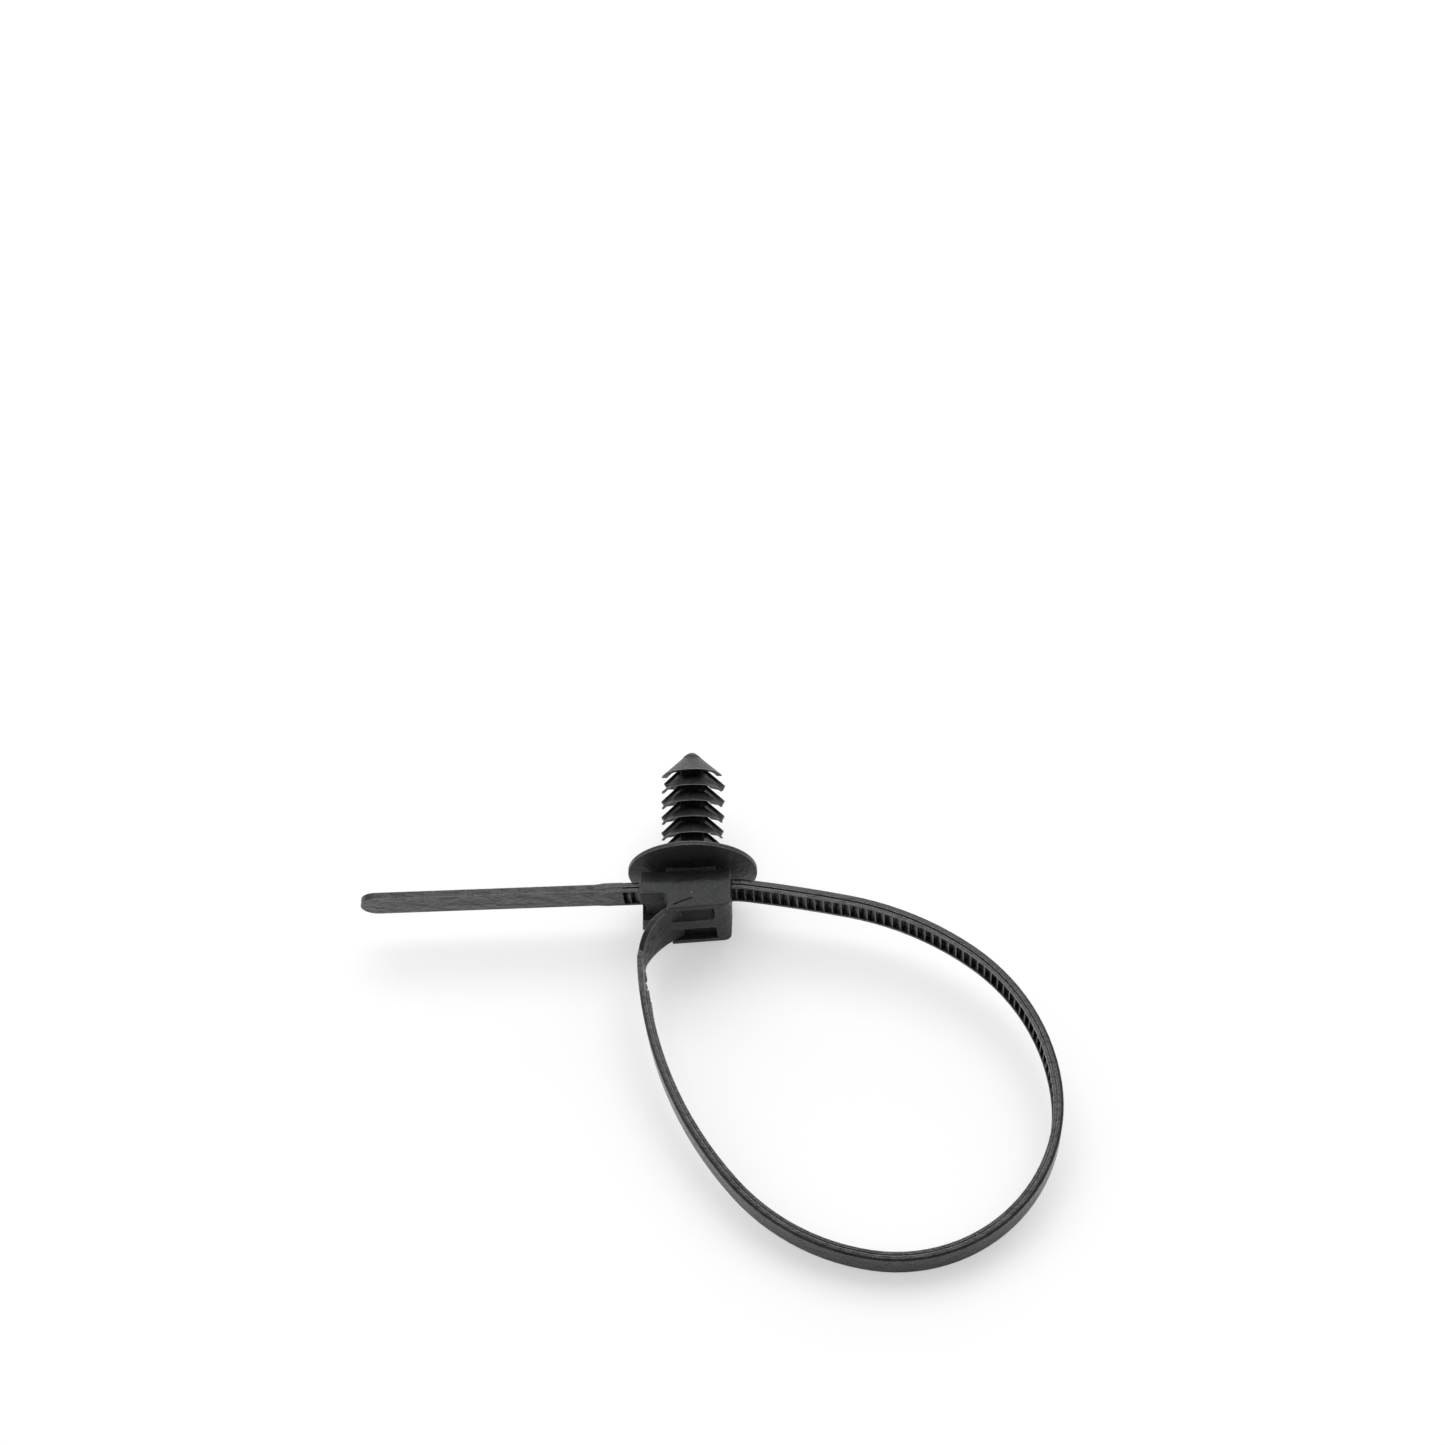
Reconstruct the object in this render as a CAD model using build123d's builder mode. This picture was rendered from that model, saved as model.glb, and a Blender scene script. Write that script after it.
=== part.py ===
"""Cable tie with a fir tree push mount, moulded in one piece, lying closed on a table.

Own frame of the moulding, in mm: the middle of the disc's rim is the origin, +X runs along
the strap's tail the other way, +Y up the tree to its tip, +Z out of the loop's plane.
"""
import os
from math import atan2, cos, degrees, hypot, pi, radians, sin

from build123d import *

os.makedirs("parts", exist_ok=True)

# Strap
strap_width = 4.6
strap_thickness = 1.3
strap_edge_slope = 0.37
strap_edge_drop = 0.2
side_groove_width = 0.2
side_groove_depth = 0.25
rail_height = 0.35
rail_inset = 0.09
rail_width = 0.42
tooth_pitch = 1.2
tooth_land = 0.14
tooth_gap = 0.2
tooth_top_below_rail = 0.1
tooth_foot = 0.62
rack_overlap = 0.3
strap_line_y = -3.25

# Loop: radius and turn in degrees of each arc, clockwise from the head
loop_arcs = [
    (11.4, 10.0),
    (205.0, 3.9),
    (40.5, 25.5),
    (26.8, 47.0),
    (20.9, 103.8),
    (28.7, 40.0),
    (51.1, 33.2),
]
neck_radius = 51.1
neck_turn = 5.0

# Root: the strap thins, bends into the head and fans out to a web
root_thickness = 0.78
root_arcs = [(4.07, 14.9), (7.4, 49.0)]
root_straight = 1.5
web_start = 1.06
web_end_height = 9.0
web_edge_radius = 8.4

# Tail
rack_end_x = -9.4
tail_step_x = -11.6
tail_slope_length = 1.5
tail_tip_x = -45.2
tail_thickness = 1.0
tail_width = 4.5
tail_outer_step = 0.18

# Head
head_left_x = -6.8
head_right_x = 5.3
head_height = 11.2
head_back_y = -1.95
head_front_y = -6.1
plate_front_y = -8.0
plate_left_x = -3.15
plate_skew = 0.35
plate_corner_round = 1.0
plate_inner_round = 0.5
plate_foot_round = 1.2
head_lean = 0.45
crease_start = (-2.2, -7.75)
crease_end = (0.0, -6.88)
crease_width = 0.14
crease_depth = 0.1
head_back_height = 7.6
facet_front_y = -4.5
facet_round = 2.0
head_edge_round = 0.2
slot_clearance = 0.08

# Grooves in the front plate
groove_right_x = 3.1
groove_left_x = -3.75
groove_run_in = 1.85
groove_run_out = 1.0
groove_outer_z = 4.75
groove_inner_z = 1.15
groove_depth = 0.85
groove_slope = 1.3
groove_end_round = 0.7

# Pawl
pawl_width = 4.5
window_width = 5.3
pawl_gap = 0.04
pawl_tooth_height = 0.4
pawl_thickness = 1.1
pawl_tip_thickness = 0.7
pawl_tip_x = -6.35
pawl_hinge_x = -2.4

# Disc and pedestal
disc_radius = 8.75
disc_edge = 0.55
disc_lip = 0.45
disc_wall = 0.85
disc_dish = 1.25
disc_outer_arc = 34.0
pedestal_left_x = -3.4
pedestal_right_x = 3.25
pedestal_height = 7.2
pedestal_overlap = 0.1

# Fir tree
core_width = 3.1
core_round = 0.5
core_past_rim = 1.6
tip_y = 18.0
tip_round = 1.1
tip_base_width = 2.5
fin_radius = 4.2
fin_pitch = 2.42
fin_first_y = tip_y - fin_radius + 0.49
fin_count = 5
fin_lean_deg = 12.5
fin_wall = 0.3
tip_wall = 0.7
fin_small = 0.5
slat_reach = fin_radius + 0.08
slat_first_y = fin_first_y - 1.24
slat_end_trims = [(-0.38, 0.3), (0.0, 0.2), (0.0, 0.14), (0.0, 0.0), (0.0, 0.0)]
slat_thickness = 0.52
slat_end_height = 0.3
slat_bottom_width = 4.8
slat_depth = 3.4
neck_width = 4.4
neck_top_y = 3.1

half_strap = strap_width / 2
outer_n = strap_thickness / 2
inner_n = -strap_thickness / 2


def loop_stations():
    """Returns x, y, heading, radius and turn at the start of each arc of the loop."""
    stations = []
    x, y, heading = head_right_x, strap_line_y, 0.0
    for radius, turn in loop_arcs + [(neck_radius, neck_turn)] + root_arcs:
        stations.append((x, y, heading, radius, radians(turn)))
        next_heading = heading - radians(turn)
        x += radius * (sin(heading) - sin(next_heading))
        y += radius * (cos(next_heading) - cos(heading))
        heading = next_heading
    stations.append((x, y, heading, 0.0, 0.0))
    return stations


stations = loop_stations()
arc_count = len(loop_arcs)
loop_length = sum(radius * radians(turn) for radius, turn in loop_arcs)


def along(distance, offset):
    """Returns the point at a distance along the loop's middle line, offset outward."""
    x, y, heading = stations[0][:3]
    left = distance
    if left > 0:
        for x, y, heading, radius, turn in stations[:arc_count]:
            if left <= radius * turn:
                next_heading = heading - left / radius
                x += radius * (sin(heading) - sin(next_heading))
                y += radius * (cos(next_heading) - cos(heading))
                heading = next_heading
                left = 0.0
                break
            left -= radius * turn
    x += left * cos(heading)
    y += left * sin(heading)
    return (x - offset * sin(heading), y + offset * cos(heading))


def across(x, y, heading):
    """Returns the plane across the strap: its X points outward and its Y is up."""
    outward = (-sin(heading), cos(heading), 0)
    forward = (cos(heading), sin(heading), 0)
    return Plane(origin=(x, y, 0), x_dir=outward, z_dir=forward)


def channel_section(plane):
    """The strap's section: sloped outer edges, side grooves and a rail on each side of the rack."""
    side = half_strap
    rail_out = side - rail_inset
    rail_in = rail_out - rail_width
    groove_inner = inner_n + rail_height
    groove_outer = groove_inner + side_groove_width
    with BuildSketch(plane) as section:
        with BuildLine():
            Polyline(
                (0, 0),
                (0, rail_in),
                (inner_n, rail_in),
                (inner_n, rail_out),
                (groove_inner, rail_out),
                (groove_inner, side - side_groove_depth),
                (groove_outer, side - side_groove_depth),
                (groove_outer, side),
                (outer_n - strap_edge_slope, side),
                (outer_n, side - strap_edge_drop),
                (outer_n, 0),
                close=True,
            )
        make_face()
        mirror(about=Plane.XZ)
    return section.sketch


def plain_section(plane, thickness, height):
    """A plain rectangle flush with the strap's outer face."""
    with BuildSketch(plane) as section:
        with Locations((outer_n, 0)):
            Rectangle(thickness, height, align=(Align.MAX, Align.CENTER))
    return section.sketch


def rack_outline(first, last):
    """Points of the toothed edge between two distances along the loop."""
    count = int((last - first) // tooth_pitch)
    foot = inner_n + tooth_foot
    top = inner_n + tooth_top_below_rail
    edge = []
    for number in range(count):
        start = first + number * tooth_pitch
        edge.append(along(start, foot))
        edge.append(along(start + tooth_pitch - tooth_gap - tooth_land, top))
        edge.append(along(start + tooth_pitch - tooth_gap, top))
        edge.append(along(start + tooth_pitch - tooth_gap, foot))
    end = first + count * tooth_pitch
    edge.append(along(end, foot))
    back = [along(first + number * tooth_pitch, foot + rack_overlap) for number in range(count + 1)]
    return edge + back[::-1]


def bend(section, x, y, heading, radius, turn):
    """Revolves a section about the middle of its arc, clockwise."""
    middle = (x + radius * sin(heading), y - radius * cos(heading), 0)
    revolve(section, axis=Axis(middle, (0, 0, -1)), revolution_arc=degrees(turn))


# Straight stretch of the strap through the head, and the loop
rail_out_z = half_strap - rail_inset
rail_middle_z = rail_out_z - rail_width / 2
with BuildPart() as strap:
    extrude(channel_section(across(tail_step_x, strap_line_y, 0)),
            amount=head_right_x - tail_step_x)
    for x, y, heading, radius, turn in stations[:arc_count]:
        bend(channel_section(across(x, y, heading)), x, y, heading, radius, turn)
    with BuildSketch(Plane.XY.offset(-rail_middle_z)):
        with BuildLine():
            Polyline(*rack_outline(rack_end_x - head_right_x, loop_length), close=True)
        make_face()
    extrude(amount=2 * rail_middle_z)
    with BuildSketch(across(tail_step_x, strap_line_y, 0)):
        Rectangle(strap_thickness, 2 * rail_out_z)
    extrude(amount=rack_end_x - tail_step_x)

# Root of the strap: the web's edges fan out from the strap's width toward the head
root_x, root_y = stations[arc_count + 1][:2]
end_x, end_y, end_heading = stations[-1][:3]
chord = atan2(end_y - root_y, end_x - root_x)
chord_length = hypot(end_x - root_x, end_y - root_y)
web_plane = Plane(origin=(root_x, root_y, 0), x_dir=(cos(chord), sin(chord), 0),
                  z_dir=(sin(chord), -cos(chord), 0))
web_back = 2 * neck_radius * radians(neck_turn)
web_top = web_end_height / 2
with BuildPart() as root:
    for x, y, heading, radius, turn in stations[arc_count:-1]:
        bend(plain_section(across(x, y, heading), root_thickness, head_height),
             x, y, heading, radius, turn)
    extrude(plain_section(across(end_x, end_y, end_heading), root_thickness, head_height),
            amount=root_straight)
    with BuildSketch(web_plane):
        with BuildLine():
            Polyline((web_start, half_strap), (-web_back, half_strap), (-web_back, 0),
                     (2 * chord_length, 0), (2 * chord_length, web_top), (chord_length, web_top))
            RadiusArc((web_start, half_strap), (chord_length, web_top), web_edge_radius)
        make_face()
        mirror(about=Plane.XZ)
    extrude(amount=2 * chord_length, both=True, mode=Mode.INTERSECT)

# Tail: thinner and smooth past a short slope, with a rounded tip
tail_outer_y = strap_line_y + outer_n - tail_outer_step
tail_inner_y = tail_outer_y - tail_thickness
slope_left_x = tail_step_x - tail_slope_length
with BuildPart() as tail:
    with BuildSketch(Plane.XZ.offset(-tail_inner_y)):
        with Locations((slope_left_x, 0)):
            Rectangle(slope_left_x - tail_tip_x - tail_width / 2, tail_width,
                      align=(Align.MAX, Align.CENTER))
        with Locations((tail_tip_x + tail_width / 2, 0)):
            Circle(tail_width / 2)
    extrude(amount=-tail_thickness)
    with BuildSketch():
        with BuildLine():
            Polyline(
                (slope_left_x, tail_outer_y),
                (slope_left_x, tail_inner_y),
                (tail_step_x, strap_line_y + inner_n),
                (tail_step_x, strap_line_y + outer_n),
                close=True,
            )
        make_face()
    extrude(amount=tail_width / 2, both=True)

# Front grooves: steep outer wall, sloped inner side, closed at the right, run in from the root
slot_back_y = strap_line_y + outer_n + slot_clearance
slot_front_y = strap_line_y + inner_n - slot_clearance
slot_height = strap_width + 2 * slot_clearance
head_top_z = head_height / 2
head_width = head_right_x - head_left_x
groove_mouth_y = plate_front_y - groove_run_out
groove_floor_y = plate_front_y + groove_depth
with BuildPart() as front_groove:
    with BuildSketch(Plane.YZ.offset(groove_left_x)):
        Polygon(
            (groove_mouth_y, groove_outer_z),
            (groove_floor_y, groove_outer_z),
            (groove_floor_y, groove_inner_z + groove_slope),
            (plate_front_y, groove_inner_z),
            (groove_mouth_y, groove_inner_z),
            align=None,
        )
    extrude(amount=groove_right_x - groove_left_x)
    end_edges = edges().filter_by(lambda e: e.center().X > groove_right_x - 0.01
                                  and e.center().Y > plate_front_y + 0.1)
    fillet(end_edges, groove_end_round)
    with BuildSketch():
        Polygon(
            (groove_left_x, groove_mouth_y),
            (groove_left_x + groove_run_in, groove_floor_y),
            (groove_left_x, groove_floor_y),
            align=None,
        )
    extrude(amount=head_height, mode=Mode.SUBTRACT)

# Head: block with a slot for the strap and a window for the pawl
with BuildPart() as head:
    with BuildSketch():
        with BuildLine():
            Polyline(
                (head_left_x - head_lean, head_back_y),
                (head_left_x - head_lean, head_front_y),
                (plate_left_x, head_front_y),
                (plate_left_x, plate_front_y - plate_skew),
                (head_right_x, plate_front_y),
                (head_right_x, head_back_y),
                close=True,
            )
        make_face()
        corner = vertices().filter_by(lambda v: v.X > 0 and v.Y < head_front_y)
        fillet(corner, plate_corner_round)
        inner = vertices().filter_by(lambda v: abs(v.X - plate_left_x) < 0.01
                                     and abs(v.Y - head_front_y) < 0.01)
        fillet(inner, plate_inner_round)
    extrude(amount=head_top_z, both=True)
    with BuildSketch(Plane.XZ):
        Polygon(
            (head_left_x, head_top_z),
            (head_left_x, 0),
            (head_left_x - head_lean, -head_top_z),
            (head_right_x - head_lean, -head_top_z),
            (head_right_x, 0),
            (head_right_x, head_top_z),
            align=None,
        )
        fillet(vertices().filter_by(lambda v: v.X > 0 and v.Y < -1), plate_foot_round)
    extrude(amount=2 * head_width, both=True, mode=Mode.INTERSECT)
    with BuildSketch(Plane.YZ.offset(head_left_x - head_lean)):
        with BuildLine():
            Polyline(
                (plate_front_y - plate_skew, 0),
                (plate_front_y - plate_skew, head_top_z),
                (facet_front_y, head_top_z),
                (head_back_y, head_back_height / 2),
                (head_back_y, 0),
                close=True,
            )
        make_face()
        crease = vertices().filter_by(lambda v: abs(v.X - facet_front_y) < 0.01)
        fillet(crease, facet_round)
        mirror(about=Plane.XZ)
    extrude(amount=2 * head_width, mode=Mode.INTERSECT)
    top_edges = edges().filter_by(lambda e: e.center().Z > head_back_height / 2 - 0.01)
    fillet(top_edges, head_edge_round)
    slot_middle_y = (slot_back_y + slot_front_y) / 2
    with Locations((0, slot_middle_y, 0)):
        Box(4 * head_width, slot_back_y - slot_front_y, slot_height, mode=Mode.SUBTRACT)
    window_right_x = plate_left_x
    with Locations((window_right_x, slot_front_y, 0)):
        Box(head_width, head_width, window_width, align=(Align.MAX, Align.MAX, Align.CENTER),
            mode=Mode.SUBTRACT)
    add(front_groove.part, mode=Mode.SUBTRACT)
    add(front_groove.part.mirror(Plane.XY), mode=Mode.SUBTRACT)
    with BuildSketch(Plane.XY.offset(head_top_z)):
        run_x, run_y = crease_end[0] - crease_start[0], crease_end[1] - crease_start[1]
        middle = ((crease_start[0] + crease_end[0]) / 2, (crease_start[1] + crease_end[1]) / 2)
        with Locations(Location(middle, degrees(atan2(run_y, run_x)))):
            Rectangle(hypot(run_x, run_y), crease_width)
    extrude(amount=-crease_depth, mode=Mode.SUBTRACT)

# Pawl: hinged at the strap's entry, its two teeth face the rack with a small gap
pawl_face_y = slot_front_y - pawl_gap
pawl_root_y = pawl_face_y - pawl_tooth_height
with BuildPart() as pawl:
    with BuildSketch():
        with BuildLine():
            Polyline(
                (pawl_hinge_x, pawl_root_y),
                (pawl_hinge_x, pawl_root_y - pawl_thickness),
                (pawl_tip_x, pawl_root_y - pawl_tip_thickness),
                (pawl_tip_x, pawl_face_y),
                (pawl_tip_x + tooth_pitch - tooth_gap, pawl_root_y),
                (pawl_tip_x + tooth_pitch, pawl_root_y),
                (pawl_tip_x + tooth_pitch, pawl_face_y),
                (pawl_tip_x + 2 * tooth_pitch - tooth_gap, pawl_root_y),
                close=True,
            )
        make_face()
    extrude(amount=pawl_width / 2, both=True)

# Disc: dish domed toward the head and conical toward the tree, on a small pedestal
with BuildPart() as disc:
    with BuildSketch():
        with BuildLine():
            rim_low = (disc_radius, -disc_edge)
            lip = (disc_radius - disc_lip, 0)
            bowl = (0, -disc_dish + disc_wall / 2)
            back = (0, -disc_dish - disc_wall / 2)
            RadiusArc(back, rim_low, -disc_outer_arc)
            Polyline(rim_low, (disc_radius, 0), lip, bowl, back)
        make_face()
    revolve(axis=Axis.Y)
    with BuildSketch(Plane.XZ.offset(-(head_back_y - pedestal_overlap))):
        with Locations(((pedestal_left_x + pedestal_right_x) / 2, 0)):
            Rectangle(pedestal_right_x - pedestal_left_x, pedestal_height)
    extrude(amount=head_back_y - pedestal_overlap + disc_dish)

# Fir tree: core, tip, half cone fins above and swept slats below, half a pitch apart
lean = radians(fin_lean_deg)


def rim_plane(y):
    """Returns the plane of a fin's rim: its Y points up the half cone and leans back."""
    return Plane(origin=(0, y, 0), x_dir=(1, 0, 0), z_dir=(0, -cos(lean), -sin(lean)))


def half_disc(plane, radius, below=0.0):
    """A half circle on the upper side of a rim plane, or a little more than half."""
    with BuildSketch(plane) as sketch:
        Circle(radius)
        with Locations((0, -below)):
            Rectangle(4 * fin_radius, 2 * fin_radius, align=(Align.CENTER, Align.MAX),
                      mode=Mode.SUBTRACT)
    return sketch.sketch.face()


def upper_fin(rim_y, wall, small):
    """A thin half cone, open toward the disc, from its rim to a small end in the core."""
    with BuildPart() as fin:
        rim = half_disc(rim_plane(rim_y), fin_radius)
        loft([rim, half_disc(rim_plane(rim_y + fin_radius - small), small)], ruled=True)
    with BuildPart() as hollow:
        mouth = half_disc(rim_plane(rim_y - 2 * wall), fin_radius + wall, 1.0)
        end = half_disc(rim_plane(rim_y + fin_radius - wall - small), small, small / 2)
        loft([mouth, end], ruled=True)
    return fin.part - hollow.part


def slat(end_y, reach):
    """A straight slat swept back at 45 degrees, to the right, lower in the middle than its end."""
    back = slat_thickness * 2**0.5
    with BuildPart() as fin:
        with BuildSketch():
            Polygon(
                (0, end_y + slat_reach),
                (reach, end_y + slat_reach - reach),
                (reach - back / 2, end_y + slat_reach - reach - back / 2),
                (0, end_y + slat_reach - back),
                align=None,
            )
        extrude(amount=-2 * slat_depth)
        with BuildSketch(Plane.XZ):
            Polygon(
                (0, 0),
                (reach, 0),
                (reach, -slat_end_height),
                (slat_bottom_width / 2, -slat_depth),
                (0, -slat_depth),
                align=None,
            )
        extrude(amount=-2 * tip_y, mode=Mode.INTERSECT)
    return fin.part


with BuildPart() as tree:
    with BuildSketch(Plane.XZ.offset(disc_dish)):
        RectangleRounded(core_width, core_width, core_round)
    extrude(amount=-(disc_dish + fin_first_y + core_past_rim))
    with BuildSketch():
        slope = sin(pi / 4) * tip_round
        centre_y = tip_y - tip_round
        base = tip_base_width / 2
        with BuildLine():
            Line((0, fin_first_y), (0, tip_y))
            RadiusArc((0, tip_y), (slope, centre_y + slope), tip_round)
            Polyline((slope, centre_y + slope), (base, centre_y + 2 * slope - base),
                     (base, fin_first_y), (0, fin_first_y))
        make_face()
    revolve(axis=Axis.Y)
    with Locations((0, (neck_top_y - disc_dish) / 2, 0)):
        Box(neck_width, neck_top_y + disc_dish, neck_width)
    for number in range(fin_count):
        rim_y = fin_first_y - number * fin_pitch
        is_tip = number == 0
        add(upper_fin(rim_y, tip_wall if is_tip else fin_wall, tip_base_width / 2 if is_tip else fin_small))
    for number, (left_trim, right_trim) in enumerate(slat_end_trims):
        end_y = slat_first_y - number * fin_pitch
        add(slat(end_y, slat_reach + left_trim).mirror(Plane.YZ))
        add(slat(end_y, slat_reach + right_trim))

# One moulding, laid down the way it rests: on the disc's edge and the far end of the loop
with BuildPart() as tie:
    add(strap.part)
    add(root.part)
    add(tail.part)
    add(head.part)
    add(pawl.part)
    add(disc.part)
    add(tree.part)

loop_reach = -min(along(loop_length * step / 400, outer_n)[1] for step in range(401))
rest_span = loop_reach - strap_edge_slope - disc_edge
rest_tilt = degrees(atan2(disc_radius - half_strap, rest_span))
rest_roll = 0.0
resting = tie.part.rotate(Axis.X, rest_tilt).rotate(Axis.Y, rest_roll)
box = resting.bounding_box()
resting = resting.translate((-box.center().X, -box.center().Y, -box.min.Z))
cable_tie = resting.solids()[0]
cable_tie.label = "cable_tie"
export_step(cable_tie, "parts/cable_tie.step")
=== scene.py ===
"""Fir tree cable tie in black nylon, lying on a white table under soft studio light."""
import math
import random

import bmesh
import bpy
from mathutils import Euler, Matrix, Vector


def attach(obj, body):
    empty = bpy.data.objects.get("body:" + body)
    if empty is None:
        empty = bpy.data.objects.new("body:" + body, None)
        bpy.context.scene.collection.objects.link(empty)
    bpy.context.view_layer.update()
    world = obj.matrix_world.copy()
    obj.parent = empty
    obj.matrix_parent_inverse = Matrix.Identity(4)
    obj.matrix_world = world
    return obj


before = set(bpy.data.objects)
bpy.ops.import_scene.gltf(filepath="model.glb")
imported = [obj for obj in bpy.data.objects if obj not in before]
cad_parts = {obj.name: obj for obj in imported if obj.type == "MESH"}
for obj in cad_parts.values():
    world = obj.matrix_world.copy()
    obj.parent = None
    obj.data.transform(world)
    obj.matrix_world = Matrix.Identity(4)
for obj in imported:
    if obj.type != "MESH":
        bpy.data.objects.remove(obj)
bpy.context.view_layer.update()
bpy.context.scene.view_settings.view_transform = "Standard"

MM = 0.001

# The tie's own axes, in mm: u to the right, v up the tree, w out of the loop's plane
REST_TILT = math.radians(6.653)
RIM_CENTRE = Vector((-1.067, 19.099, 8.755))

# Camera, matched to the photograph
CAMERA_PLACE = Vector((0.01921, -0.17272, 0.30512))
CAMERA_TURN = Euler([math.radians(angle) for angle in (36.074, 3.359, -0.349)])
CAMERA_NEAREST = 0.01
CAMERA_FARTHEST = 20.0
SENSOR_WIDTH = 36.0
LENS = 64.775

# Softboxes, all aimed at the tie: name, place, width and height in metres, power in watts
SOFTBOXES = [("overhead_softbox", (0.05, 0.40, 0.70), 0.9, 0.6, 3.4),
             ("side_softbox", (-0.75, 0.10, 0.45), 0.5, 0.5, 0.5),
             ("back_strip", (0.10, 0.85, 0.30), 1.3, 0.26, 1.2)]

# Room: bright above and behind, darker in front, plain white where the camera sees it
ROOM_AXIS = Vector((0.0, 0.55, 0.83)).normalized()
ROOM_TURN = (0.10, 0.75)
ROOM_FRONT = 0.22
ROOM_BACK = 0.76
ROOM_SEEN = 1.0
WHITE = (1.0, 1.0, 1.0, 1.0)

# Table: its shade as it lights the tie, as the tie mirrors it and as the camera sees it
TABLE_SIZE = 3.0
TABLE_SHADE = 0.80
TABLE_MIRROR_SHADE = 1.0
TABLE_SEEN_SHADE = 0.58

# Glow that lifts the seen table to white, near the tie and far away, and where it rises, in m
NEAR_GLOW = 0.46
FAR_GLOW = 0.90
GLOW_RISE = (0.25, 0.80)

# Sockets of the Mix node, which share their names: two numbers, two colours, their results
MIX_NUMBERS = (2, 3)
MIX_COLOURS = (6, 7)
MIX_NUMBER_RESULT = 0
MIX_COLOUR_RESULT = 2

# Round marks of the moulding, and round painted highlight spots: place in the tie's axes and radius,
# in mm
RING_MARKS = [((-6.09, -11.90, 0.52), 0.34),
              ((-6.52, -13.31, -0.05), 0.34)]
PIT_MARKS = [((-5.25, -10.43, 1.08), 0.34),
             ((-4.29, -9.37, 1.54), 0.26),
             ((-6.57, -13.95, -0.72), 0.18),
             ((0.17, -6.90, 5.60), 0.14)]
# Painted highlight spots, not marks on the nylon
PAINTED_HIGHLIGHT_SPOTS = [((0.16, -6.02, 5.60), 0.10),
               ((-3.05, -8.33, 5.48), 0.13),
               ((-2.98, -8.42, 1.30), 0.13)]

# Outline of a mark, in shares of its radius: how uneven it is and where it fades
MARK_NOISE = (3.0, 2.0, 0.6)
MARK_UNEVEN = 0.7
DISC_FADE = (0.55, 1.10)
RING_FADE = (0.12, 0.42)

# Crease across the head's top, in mm: its ends and where it fades
CREASE_START = Vector((-2.2, -7.75, 0.0))
CREASE_END = Vector((0.0, -6.88, 0.0))
CREASE_FIRST_END = (-0.10, 0.10)
CREASE_LAST_END = 0.15
CREASE_SIDES = (0.06, 0.14)
CREASE_FLOOR = (5.1, 5.3)

# Parting line up the middle of the tree and the disc, in mm
SEAM_SIDES = (0.04, 0.13)
SEAM_FOOT = (-2.0, -1.8)

# Where the head ends and the strap begins, in mm: beside it, before it and under the disc
HEAD_MIDDLE = -0.75
HEAD_SIDES = (6.1, 6.5)
HEAD_FRONT = (-9.2, -9.8)
DISC_BACK = (-1.3, -1.5)

# Noises in the nylon: steps in a mm along each of the tie's axes, detail, roughness
NOISES = {"clouds": ((0.55, 0.55, 0.55), 4.0, 0.60),
          "grain": ((7.0, 7.0, 7.0), 3.0, 0.65),
          "pores": ((2.6, 2.6, 2.6), 5.0, 0.70),
          "flow": ((0.10, 0.10, 2.6), 3.0, 0.60),
          "scratches": ((0.35, 5.5, 5.5), 4.0, 0.65)}

# Where the noises turn into patches: from none to full
CLOUD_PATCHES = (0.34, 0.66)
GRAIN_SPECKS = (0.52, 0.75)
SCRATCH_LINES = (0.64, 0.78)
SCRATCHED_CLOUDS = (0.46, 0.60)
# Patches along sharp edges where the painted edge highlight shows, and its least share between them
EDGE_HIGHLIGHT_PATCHES = (0.38, 0.58)
EDGE_HIGHLIGHT_LEAST = 0.35

# Edges and hollows: rounding in mm, width of the painted edge highlight and how far the normals part
# there, reach of the painted shade in a recess and its shades
EDGE_SOFTNESS = 0.06
EDGE_HIGHLIGHT_WIDTH = 0.20
EDGE_HIGHLIGHT_TURN = (0.99, 0.80)
RECESS_REACH = 0.45
RECESS_SHADES = (0.25, 0.85)
EDGE_SAMPLES = 4

# Colours of the nylon, and the layers over it from the lowest up: mask, share, colour
DARK_NYLON = (0.0075, 0.0085, 0.0089, 1.0)
PALE_NYLON = (0.0190, 0.0208, 0.0214, 1.0)
COLOUR_LAYERS = [("specks", 0.55, (0.0400, 0.0428, 0.0434, 1.0)),
                 # painted highlight along sharp edges, in patches
                 ("painted_edge_highlights", 0.90, (0.3600, 0.3680, 0.3660, 1.0)),
                 ("scuffs", 0.60, (0.0950, 0.1000, 0.1000, 1.0)),
                 # painted shade in narrow hollows, darker than the nylon
                 ("painted_recess_shade", 0.90, (0.0040, 0.0044, 0.0045, 1.0)),
                 # painted highlight spots
                 ("painted_highlight_spots", 1.00, (0.3000, 0.3050, 0.3050, 1.0)),
                 ("dark_marks", 1.00, (0.0015, 0.0017, 0.0017, 1.0))]

# Gloss of the nylon: roughness over the pores, and what each mask adds to it
PORE_SPREAD = (0.32, 0.68)
ROUGHNESS_LOW = 0.29
ROUGHNESS_HIGH = 0.43
ROUGHNESS_CHANGES = [("strap", -0.17), ("scuffs", 0.14), ("dark_marks", 0.35)]
NYLON_IOR = 1.5
NYLON_SPECULAR = 0.48

# Relief of the nylon from the lowest layer up: height map, height in mm, strength
STRAP_RELIEF = 0.30
RELIEF_LAYERS = [("grain", 0.052, 1.0),
                 ("pores", 0.15, 0.9),
                 ("flow", 0.09, 0.6),
                 ("clouds", 0.45, 0.7),
                 ("seam", 0.05, 1.0),
                 ("rings", 0.18, 1.0),
                 ("pit_rims", 0.24, 1.0)]

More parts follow.
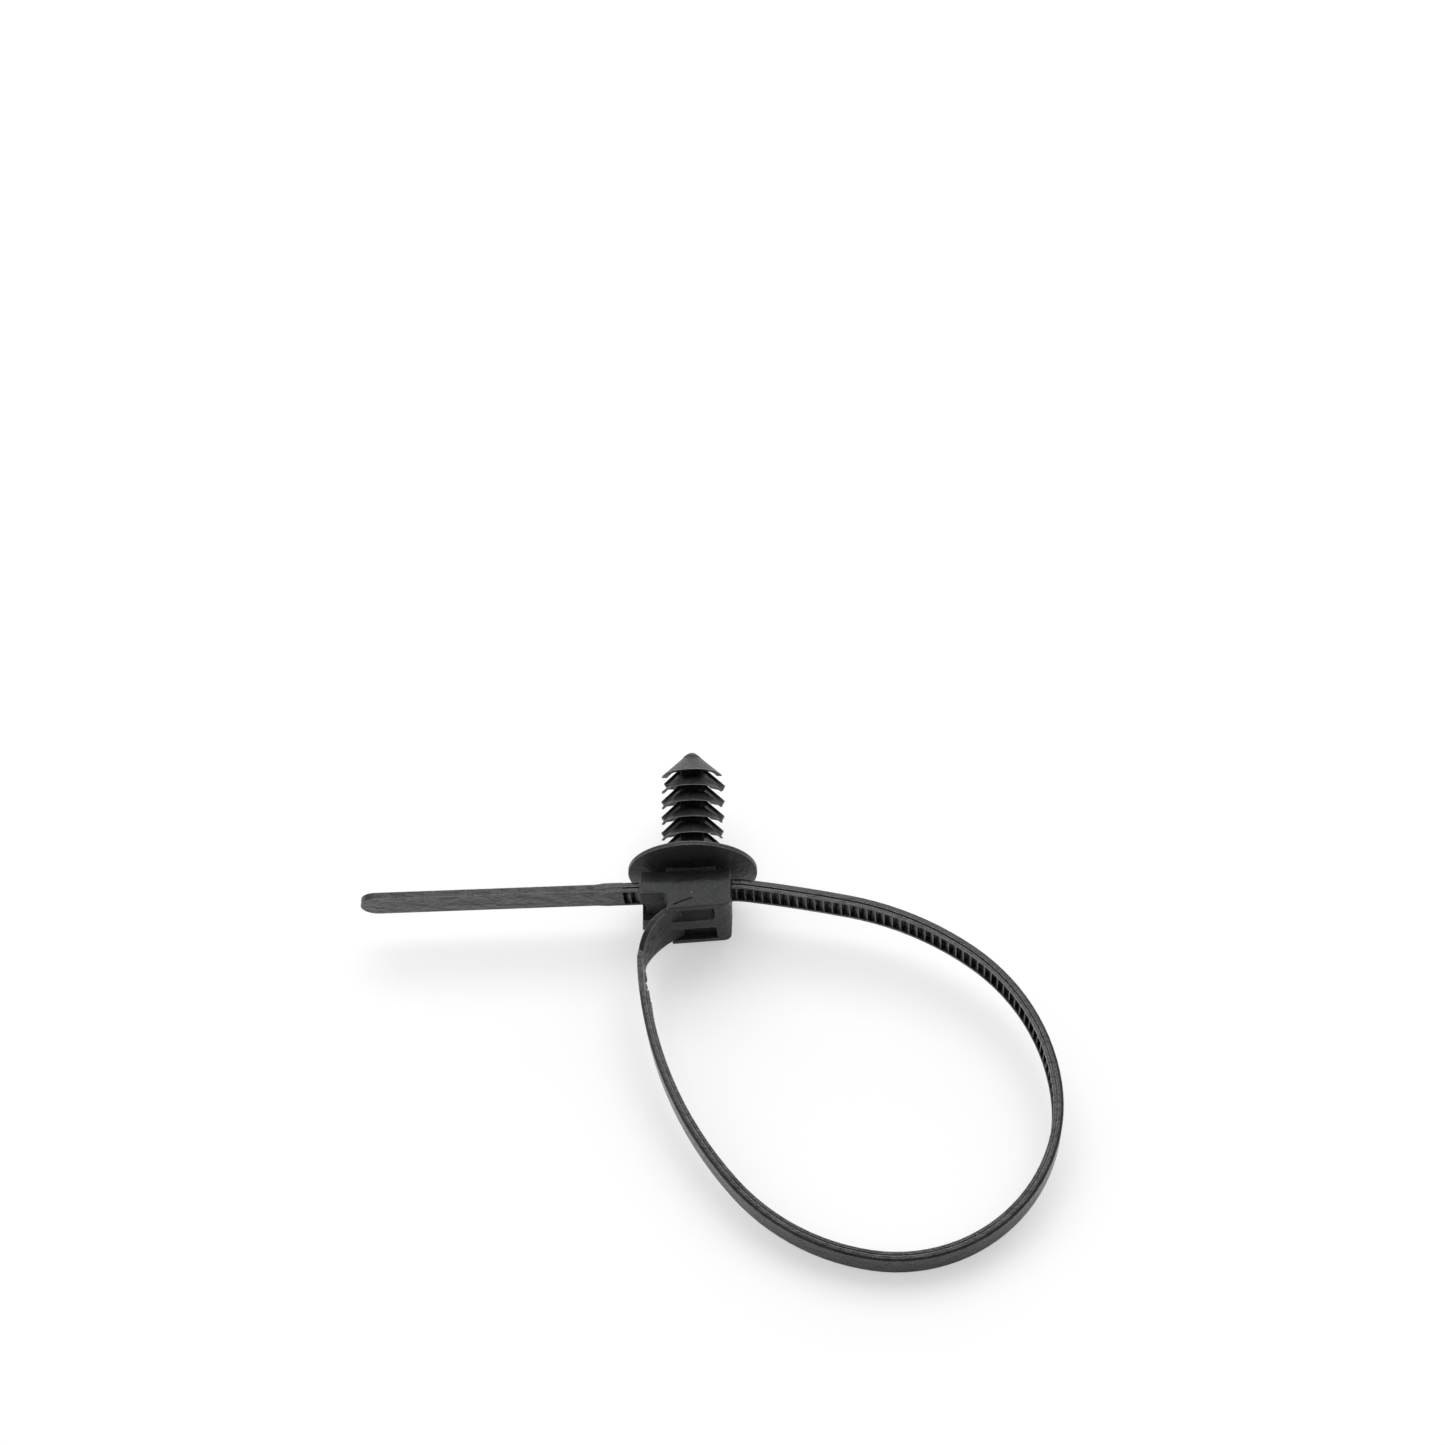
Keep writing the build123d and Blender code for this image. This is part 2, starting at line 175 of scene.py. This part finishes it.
# Slivers of flash, in mm: spacing and half width of their sections, how deep they are rooted
BURR_STEP = 0.12
BURR_HALF_WIDTH = 0.07
BURR_SINK = 0.06
BURR_SEED = 5

# Raggedness of the slivers: shares of the height, lean to the sides, how full the ends are
BURR_RAGGED = (0.35, 1.0)
BURR_LEAN = 0.4
BURR_END = 0.08

# Each sliver, in mm: name, start, end, direction in which it stands out, height
FLASH = [("head_flash_upper", (5.16, -7.46, 4.05), (5.16, -7.46, 3.45), (0.85, -0.5, 0.0), 0.42),
         ("head_flash_lower", (5.02, -7.70, 3.10), (5.02, -7.70, 0.90), (0.8, -0.6, 0.0), 0.20),
         ("root_flash_upper", (-6.58, -13.9, -2.22), (-6.48, -15.4, -2.22), (1.0, 0.0, -0.3), 0.26),
         ("root_flash_lower", (-6.46, -15.6, -2.22), (-6.36, -17.0, -2.22), (1.0, 0.1, -0.3), 0.20)]


def set_inputs(node, **values):
    """Sets a node's unlinked inputs by their names, with spaces written as underscores."""
    for name, value in values.items():
        node.inputs[name.replace("_", " ")].default_value = value


class Tree:
    """Places nodes in one tree from left to right and links them."""

    def __init__(self, tree):
        self.tree = tree
        self.column = 0

    def node(self, kind, **settings):
        """Adds a node and gives it its settings."""
        node = self.tree.nodes.new(kind)
        node.location = (self.column * 190, -(self.column % 4) * 160)
        self.column += 1
        for name, value in settings.items():
            setattr(node, name, value)
        return node

    def feed(self, target, value):
        """Gives an input its value, which is another node's output or is written out."""
        if isinstance(value, bpy.types.NodeSocket):
            self.tree.links.new(value, target)
        else:
            target.default_value = value

    def math(self, operation, *values):
        """Adds a math node on outputs or numbers and returns its output."""
        node = self.node("ShaderNodeMath", operation=operation)
        for target, value in zip(node.inputs, values):
            self.feed(target, value)
        return node.outputs[0]

    def vector_math(self, operation, values):
        """Adds a vector math node on outputs or written vectors."""
        node = self.node("ShaderNodeVectorMath", operation=operation)
        for target, value in zip(node.inputs, values):
            self.feed(target, value)
        return node

    def vector(self, operation, *values):
        """Works out a vector from vectors."""
        return self.vector_math(operation, values).outputs["Vector"]

    def measure(self, operation, *values):
        """Works out a number from vectors, such as a length."""
        return self.vector_math(operation, values).outputs["Value"]

    def axes(self, place):
        """Splits a place into its X, Y and Z."""
        node = self.node("ShaderNodeSeparateXYZ")
        self.feed(node.inputs[0], place)
        return node.outputs

    def noise(self, vector, scale, detail, roughness):
        """Adds a noise texture and returns its value."""
        node = self.node("ShaderNodeTexNoise")
        set_inputs(node, Scale=scale, Detail=detail, Roughness=roughness)
        self.feed(node.inputs["Vector"], vector)
        return node.outputs["Fac"]

    def ramp(self, value, span, start, end):
        """Maps a value's span to run from start to end, and clamps it."""
        node = self.node("ShaderNodeMapRange")
        set_inputs(node, From_Min=span[0], From_Max=span[1], To_Min=start, To_Max=end)
        self.feed(node.inputs["Value"], value)
        return node.outputs["Result"]

    def blend(self, amount, *numbers):
        """Blends two numbers, each an output or written out."""
        node = self.node("ShaderNodeMix")
        self.feed(node.inputs["Factor"], amount)
        for index, number in zip(MIX_NUMBERS, numbers):
            self.feed(node.inputs[index], number)
        return node.outputs[MIX_NUMBER_RESULT]

    def tint(self, amount, *colours):
        """Blends two colours, each an output or written out."""
        node = self.node("ShaderNodeMix", data_type="RGBA")
        self.feed(node.inputs["Factor"], amount)
        for index, colour in zip(MIX_COLOURS, colours):
            self.feed(node.inputs[index], colour)
        return node.outputs[MIX_COLOUR_RESULT]

    def bevel(self, radius):
        """Rounds edges in the shading by a radius in mm and returns the softened normal."""
        node = self.node("ShaderNodeBevel", samples=EDGE_SAMPLES)
        set_inputs(node, Radius=radius * MM)
        return node.outputs["Normal"]

    def bump(self, height, distance, strength, normal):
        """Raises a height map, in mm, as a bump on an earlier normal."""
        node = self.node("ShaderNodeBump")
        set_inputs(node, Strength=strength, Distance=distance * MM)
        self.feed(node.inputs["Height"], height)
        self.feed(node.inputs["Normal"], normal)
        return node.outputs["Normal"]


def make_camera():
    """Places the camera at the photograph's viewpoint."""
    data = bpy.data.cameras.new("photo_camera")
    data.sensor_fit = "HORIZONTAL"
    data.sensor_width = SENSOR_WIDTH
    data.lens = LENS
    data.clip_start = CAMERA_NEAREST
    data.clip_end = CAMERA_FARTHEST
    camera = bpy.data.objects.new("photo_camera", data)
    camera.location = CAMERA_PLACE
    camera.rotation_euler = CAMERA_TURN
    bpy.context.collection.objects.link(camera)
    bpy.context.scene.camera = camera


def softbox(name, place, width, height, watts):
    """Adds a rectangular soft light aimed at the middle of the table."""
    data = bpy.data.lights.new(name, "AREA")
    data.shape = "RECTANGLE"
    data.size = width
    data.size_y = height
    data.energy = watts
    light = bpy.data.objects.new(name, data)
    light.location = place
    light.rotation_euler = (-Vector(place)).to_track_quat("-Z", "Y").to_euler()
    bpy.context.collection.objects.link(light)


def make_room():
    """Gives the world a brighter ceiling and back than front, seen as plain white."""
    world = bpy.data.worlds.new("pale_room")
    world.use_nodes = True
    tree = Tree(world.node_tree)
    direction = tree.node("ShaderNodeTexCoord").outputs["Generated"]
    toward_back = tree.measure("DOT_PRODUCT", direction, ROOM_AXIS)
    light = tree.ramp(toward_back, ROOM_TURN, ROOM_FRONT, ROOM_BACK)
    seen = tree.node("ShaderNodeLightPath").outputs["Is Camera Ray"]
    background = world.node_tree.nodes["Background"]
    set_inputs(background, Color=WHITE)
    tree.feed(background.inputs["Strength"], tree.blend(seen, light, ROOM_SEEN))
    bpy.context.scene.world = world


def table_material():
    """White table: lighter in the tie's reflections, and lifted to white for the camera."""
    material = bpy.data.materials.new("white_table")
    material.use_nodes = True
    material.node_tree.nodes.clear()
    tree = Tree(material.node_tree)
    path = tree.node("ShaderNodeLightPath").outputs
    seen = path["Is Camera Ray"]
    mirrored = tree.math("MAXIMUM", path["Is Glossy Ray"], path["Is Transmission Ray"])
    shade = tree.blend(mirrored, TABLE_SHADE, TABLE_MIRROR_SHADE)
    shade = tree.blend(seen, shade, TABLE_SEEN_SHADE)
    away = tree.measure("LENGTH", tree.node("ShaderNodeTexCoord").outputs["Object"])
    glow = tree.math("MULTIPLY", seen, tree.ramp(away, GLOW_RISE, NEAR_GLOW, FAR_GLOW))
    surface = tree.node("ShaderNodeBsdfDiffuse")
    tree.feed(surface.inputs["Color"], shade)
    light = tree.node("ShaderNodeEmission")
    tree.feed(light.inputs["Strength"], glow)
    both = tree.node("ShaderNodeAddShader")
    tree.feed(both.inputs[0], surface.outputs[0])
    tree.feed(both.inputs[1], light.outputs[0])
    output = tree.node("ShaderNodeOutputMaterial")
    tree.feed(output.inputs["Surface"], both.outputs[0])
    return material


def make_table():
    """Lays a wide flat table at the height that the tie rests on."""
    half = TABLE_SIZE / 2
    mesh = bpy.data.meshes.new("table")
    corners = [(-half, -half, 0), (half, -half, 0), (half, half, 0), (-half, half, 0)]
    mesh.from_pydata(corners, [], [(0, 1, 2, 3)])
    mesh.materials.append(table_material())
    table = bpy.data.objects.new("table", mesh)
    bpy.context.collection.objects.link(table)


def mark_group():
    """Node group: a round, slightly uneven mark at a centre, filled or as a ring."""
    group = bpy.data.node_groups.new("moulding_mark", "ShaderNodeTree")
    for name, side, kind in (("Place", "INPUT", "Vector"), ("Centre", "INPUT", "Vector"),
                             ("Radius", "INPUT", "Float"), ("Disc", "OUTPUT", "Float"),
                             ("Ring", "OUTPUT", "Float")):
        group.interface.new_socket(name, in_out=side, socket_type="NodeSocket" + kind)
    tree = Tree(group)
    given = tree.node("NodeGroupInput").outputs
    away = tree.measure("DISTANCE", given["Place"], given["Centre"])
    share = tree.math("DIVIDE", away, given["Radius"])
    noise = tree.noise(given["Place"], *MARK_NOISE)
    uneven = tree.math("MULTIPLY_ADD", noise, MARK_UNEVEN, -MARK_UNEVEN / 2)
    share = tree.math("ADD", share, uneven)
    off_line = tree.math("ABSOLUTE", tree.math("SUBTRACT", share, 1.0))
    result = tree.node("NodeGroupOutput").inputs
    tree.feed(result["Disc"], tree.ramp(share, DISC_FADE, 1.0, 0.0))
    tree.feed(result["Ring"], tree.ramp(off_line, RING_FADE, 1.0, 0.0))
    return group


def mark_mask(tree, place, group, places, output):
    """Gathers round marks of one kind into one mask."""
    mask = 0.0
    for centre, radius in places:
        mark = tree.node("ShaderNodeGroup", node_tree=group)
        tree.feed(mark.inputs["Place"], place)
        set_inputs(mark, Centre=centre, Radius=radius)
        mask = tree.math("MAXIMUM", mask, mark.outputs[output])
    return mask


def tie_axes(tree):
    """Gives the place on the moulding in the tie's own axes, in mm."""
    shift = -(Matrix.Rotation(-REST_TILT, 3, "X") @ RIM_CENTRE)
    node = tree.node("ShaderNodeMapping", vector_type="POINT")
    set_inputs(node, Scale=(1 / MM,) * 3, Rotation=(-REST_TILT, 0.0, 0.0), Location=shift)
    tree.feed(node.inputs["Vector"], tree.node("ShaderNodeTexCoord").outputs["Object"])
    return node.outputs["Vector"]


def edge_mask(tree):
    """Finds sharp edges, where a widely rounded normal leaves the real one."""
    real = tree.node("ShaderNodeNewGeometry").outputs["Normal"]
    same = tree.measure("DOT_PRODUCT", real, tree.bevel(EDGE_HIGHLIGHT_WIDTH))
    return tree.ramp(same, EDGE_HIGHLIGHT_TURN, 0.0, 1.0)


def recess_shade_mask(tree):
    """Finds narrow hollows, where little open space is left around a point, for the painted shade in
    them.
    """
    node = tree.node("ShaderNodeAmbientOcclusion", samples=EDGE_SAMPLES, only_local=True)
    set_inputs(node, Distance=RECESS_REACH * MM)
    return tree.ramp(node.outputs["AO"], RECESS_SHADES, 1.0, 0.0)


def strap_mask(tree, place):
    """Finds the strap: what lies beside the head or before its front, below the disc."""
    axes = tree.axes(place)
    from_middle = tree.math("ABSOLUTE", tree.math("SUBTRACT", axes["X"], HEAD_MIDDLE))
    beside = tree.ramp(from_middle, HEAD_SIDES, 0.0, 1.0)
    before = tree.ramp(axes["Y"], HEAD_FRONT, 0.0, 1.0)
    under_disc = tree.ramp(axes["Y"], DISC_BACK, 0.0, 1.0)
    return tree.math("MULTIPLY", tree.math("MAXIMUM", beside, before), under_disc)


def crease_mask(tree, place):
    """Finds the fine crease across the head's top."""
    length = (CREASE_END - CREASE_START).length
    run = (CREASE_END - CREASE_START).normalized()
    from_start = tree.vector("SUBTRACT", place, CREASE_START)
    along = tree.measure("DOT_PRODUCT", from_start, run)
    across = tree.measure("DOT_PRODUCT", from_start, Vector((-run.y, run.x, 0.0)))
    after_start = tree.ramp(along, CREASE_FIRST_END, 0.0, 1.0)
    before_end = tree.ramp(along, (length, length + CREASE_LAST_END), 1.0, 0.0)
    line = tree.ramp(tree.math("ABSOLUTE", across), CREASE_SIDES, 1.0, 0.0)
    on_top = tree.ramp(tree.axes(place)["Z"], CREASE_FLOOR, 0.0, 1.0)
    inside = tree.math("MULTIPLY", after_start, before_end)
    return tree.math("MULTIPLY", tree.math("MULTIPLY", inside, line), on_top)


def seam_mask(tree, place):
    """Finds the mould's parting line up the middle of the tree and disc."""
    axes = tree.axes(place)
    line = tree.ramp(tree.math("ABSOLUTE", axes["X"]), SEAM_SIDES, 1.0, 0.0)
    above = tree.ramp(axes["Y"], SEAM_FOOT, 0.0, 1.0)
    return tree.math("MULTIPLY", line, above)


def nylon_noises(tree, place):
    """Gives the noises that mottle and roughen the nylon, by name."""
    noises = {}
    for name, (steps, detail, roughness) in NOISES.items():
        stretched = tree.vector("MULTIPLY", place, steps)
        noises[name] = tree.noise(stretched, 1.0, detail, roughness)
    return noises


def nylon_masks(tree, place, noises):
    """Gives the masks for specks, painted edge highlights, painted shade in hollows, scuffs, strap,
    seam, marks and painted highlight spots, by name.
    """
    group = mark_group()
    # Painted shade in narrow hollows, from how little open space is around a point
    painted_recess_shade = recess_shade_mask(tree)
    # Painted highlight on sharp edges, laid in patches and kept out of hollows
    patches = tree.ramp(noises["pores"], EDGE_HIGHLIGHT_PATCHES, EDGE_HIGHLIGHT_LEAST, 1.0)
    painted_edge_highlights = tree.math("MULTIPLY", edge_mask(tree), patches)
    scratched = tree.ramp(noises["scratches"], SCRATCH_LINES, 0.0, 1.0)
    clouded = tree.ramp(noises["clouds"], SCRATCHED_CLOUDS, 0.0, 1.0)
    rings = mark_mask(tree, place, group, RING_MARKS, "Ring")
    round_pits = mark_mask(tree, place, group, PIT_MARKS, "Disc")
    pits = tree.math("MAXIMUM", round_pits, crease_mask(tree, place))
    return {"specks": tree.ramp(noises["grain"], GRAIN_SPECKS, 0.0, 1.0),
            "painted_recess_shade": painted_recess_shade,
            "painted_edge_highlights": tree.math("MULTIPLY", painted_edge_highlights, tree.math("SUBTRACT", 1.0, painted_recess_shade)),
            "scuffs": tree.math("MULTIPLY", scratched, clouded),
            "strap": strap_mask(tree, place),
            "seam": seam_mask(tree, place),
            "rings": rings,
            "pits": pits,
            "dark_marks": tree.math("MAXIMUM", rings, pits),
            # Painted highlight spots
            "painted_highlight_spots": mark_mask(tree, place, group, PAINTED_HIGHLIGHT_SPOTS, "Disc")}


def nylon_colour(tree, noises, masks):
    """Mottles the black and lays specks, painted highlights on sharp edges, scuffs, painted shade in
    hollows, painted highlight spots and dark marks over it.
    """
    mottle = tree.ramp(noises["clouds"], CLOUD_PATCHES, 0.0, 1.0)
    paint = tree.tint(mottle, DARK_NYLON, PALE_NYLON)
    for name, share, colour in COLOUR_LAYERS:
        paint = tree.tint(tree.math("MULTIPLY", masks[name], share), paint, colour)
    return paint


def nylon_roughness(tree, noises, masks):
    """Makes the nylon satin, glossier on the strap and duller in scuffs and marks."""
    roughness = tree.ramp(noises["pores"], PORE_SPREAD, ROUGHNESS_LOW, ROUGHNESS_HIGH)
    for name, change in ROUGHNESS_CHANGES:
        roughness = tree.math("MULTIPLY_ADD", masks[name], change, roughness)
    return roughness


def nylon_relief(tree, noises, masks):
    """Raises grain, pores, flow lines, seam and marks, calmer on the strap."""
    calm = tree.ramp(masks["strap"], (0.0, 1.0), 1.0, STRAP_RELIEF)
    heights = {name: tree.math("MULTIPLY", noises[name], calm)
               for name in ("grain", "pores", "flow")}
    heights["clouds"] = noises["clouds"]
    heights["seam"] = masks["seam"]
    heights["rings"] = masks["rings"]
    heights["pit_rims"] = tree.math("SUBTRACT", 1.0, masks["pits"])
    normal = tree.bevel(EDGE_SOFTNESS)
    for name, height, strength in RELIEF_LAYERS:
        normal = tree.bump(heights[name], height, strength, normal)
    return normal


def nylon_material():
    """Black moulded nylon: satin, mottled, with grain, flow lines, a seam and small marks, with
    painted highlights on edges and in spots and painted shade in hollows.
    """
    material = bpy.data.materials.new("black_nylon")
    material.use_nodes = True
    tree = Tree(material.node_tree)
    place = tie_axes(tree)
    noises = nylon_noises(tree, place)
    masks = nylon_masks(tree, place, noises)
    surface = material.node_tree.nodes["Principled BSDF"]
    tree.feed(surface.inputs["Base Color"], nylon_colour(tree, noises, masks))
    tree.feed(surface.inputs["Roughness"], nylon_roughness(tree, noises, masks))
    tree.feed(surface.inputs["Normal"], nylon_relief(tree, noises, masks))
    set_inputs(surface, IOR=NYLON_IOR, Specular_IOR_Level=NYLON_SPECULAR)
    return material


def burr_sections(start, end, outward, height, chance):
    """Gives a sliver's three-cornered sections from end to end, in the tie's axes."""
    across = (end - start).cross(outward).normalized()
    side = across * BURR_HALF_WIDTH
    sink = outward * BURR_SINK
    count = int((end - start).length / BURR_STEP)
    sections = []
    for index in range(count + 1):
        share = index / count
        swell = math.sin(math.pi * (BURR_END + (1 - 2 * BURR_END) * share))
        rise = height * chance.uniform(*BURR_RAGGED) * swell
        lean = across * chance.uniform(-BURR_LEAN, BURR_LEAN) * rise
        middle = start.lerp(end, share)
        sections.append((middle - side - sink, middle + outward * rise + lean, middle + side - sink))
    return sections


def flash_burr(name, sections, nylon):
    """Builds a thin ragged sliver of moulding flash through its sections."""
    to_table = Matrix.Rotation(REST_TILT, 3, "X")
    shape = bmesh.new()
    rings = []
    for section in sections:
        places = [(to_table @ corner + RIM_CENTRE) * MM for corner in section]
        rings.append([shape.verts.new(place) for place in places])
    for ring, following in zip(rings, rings[1:]):
        for corner in range(3):
            after = (corner + 1) % 3
            shape.faces.new((ring[corner], ring[after], following[after], following[corner]))
    shape.faces.new(rings[0])
    shape.faces.new(reversed(rings[-1]))
    bmesh.ops.recalc_face_normals(shape, faces=shape.faces)
    mesh = bpy.data.meshes.new(name)
    shape.to_mesh(mesh)
    shape.free()
    mesh.materials.append(nylon)
    burr = bpy.data.objects.new(name, mesh)
    bpy.context.collection.objects.link(burr)
    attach(burr, "root")


def add_flash(nylon):
    """Puts slivers of flash on the head's right edge and the root's inner edge."""
    for seed, (name, start, end, outward, height) in enumerate(FLASH, BURR_SEED):
        chance = random.Random(seed)
        stand = Vector(outward).normalized()
        sections = burr_sections(Vector(start), Vector(end), stand, height, chance)
        flash_burr(name, sections, nylon)


def dress_tie(nylon):
    """Gives the moulding its nylon."""
    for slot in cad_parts["cable_tie"].material_slots:
        slot.material = nylon


make_camera()
make_room()
for box in SOFTBOXES:
    softbox(*box)
make_table()
nylon_finish = nylon_material()
dress_tie(nylon_finish)
add_flash(nylon_finish)
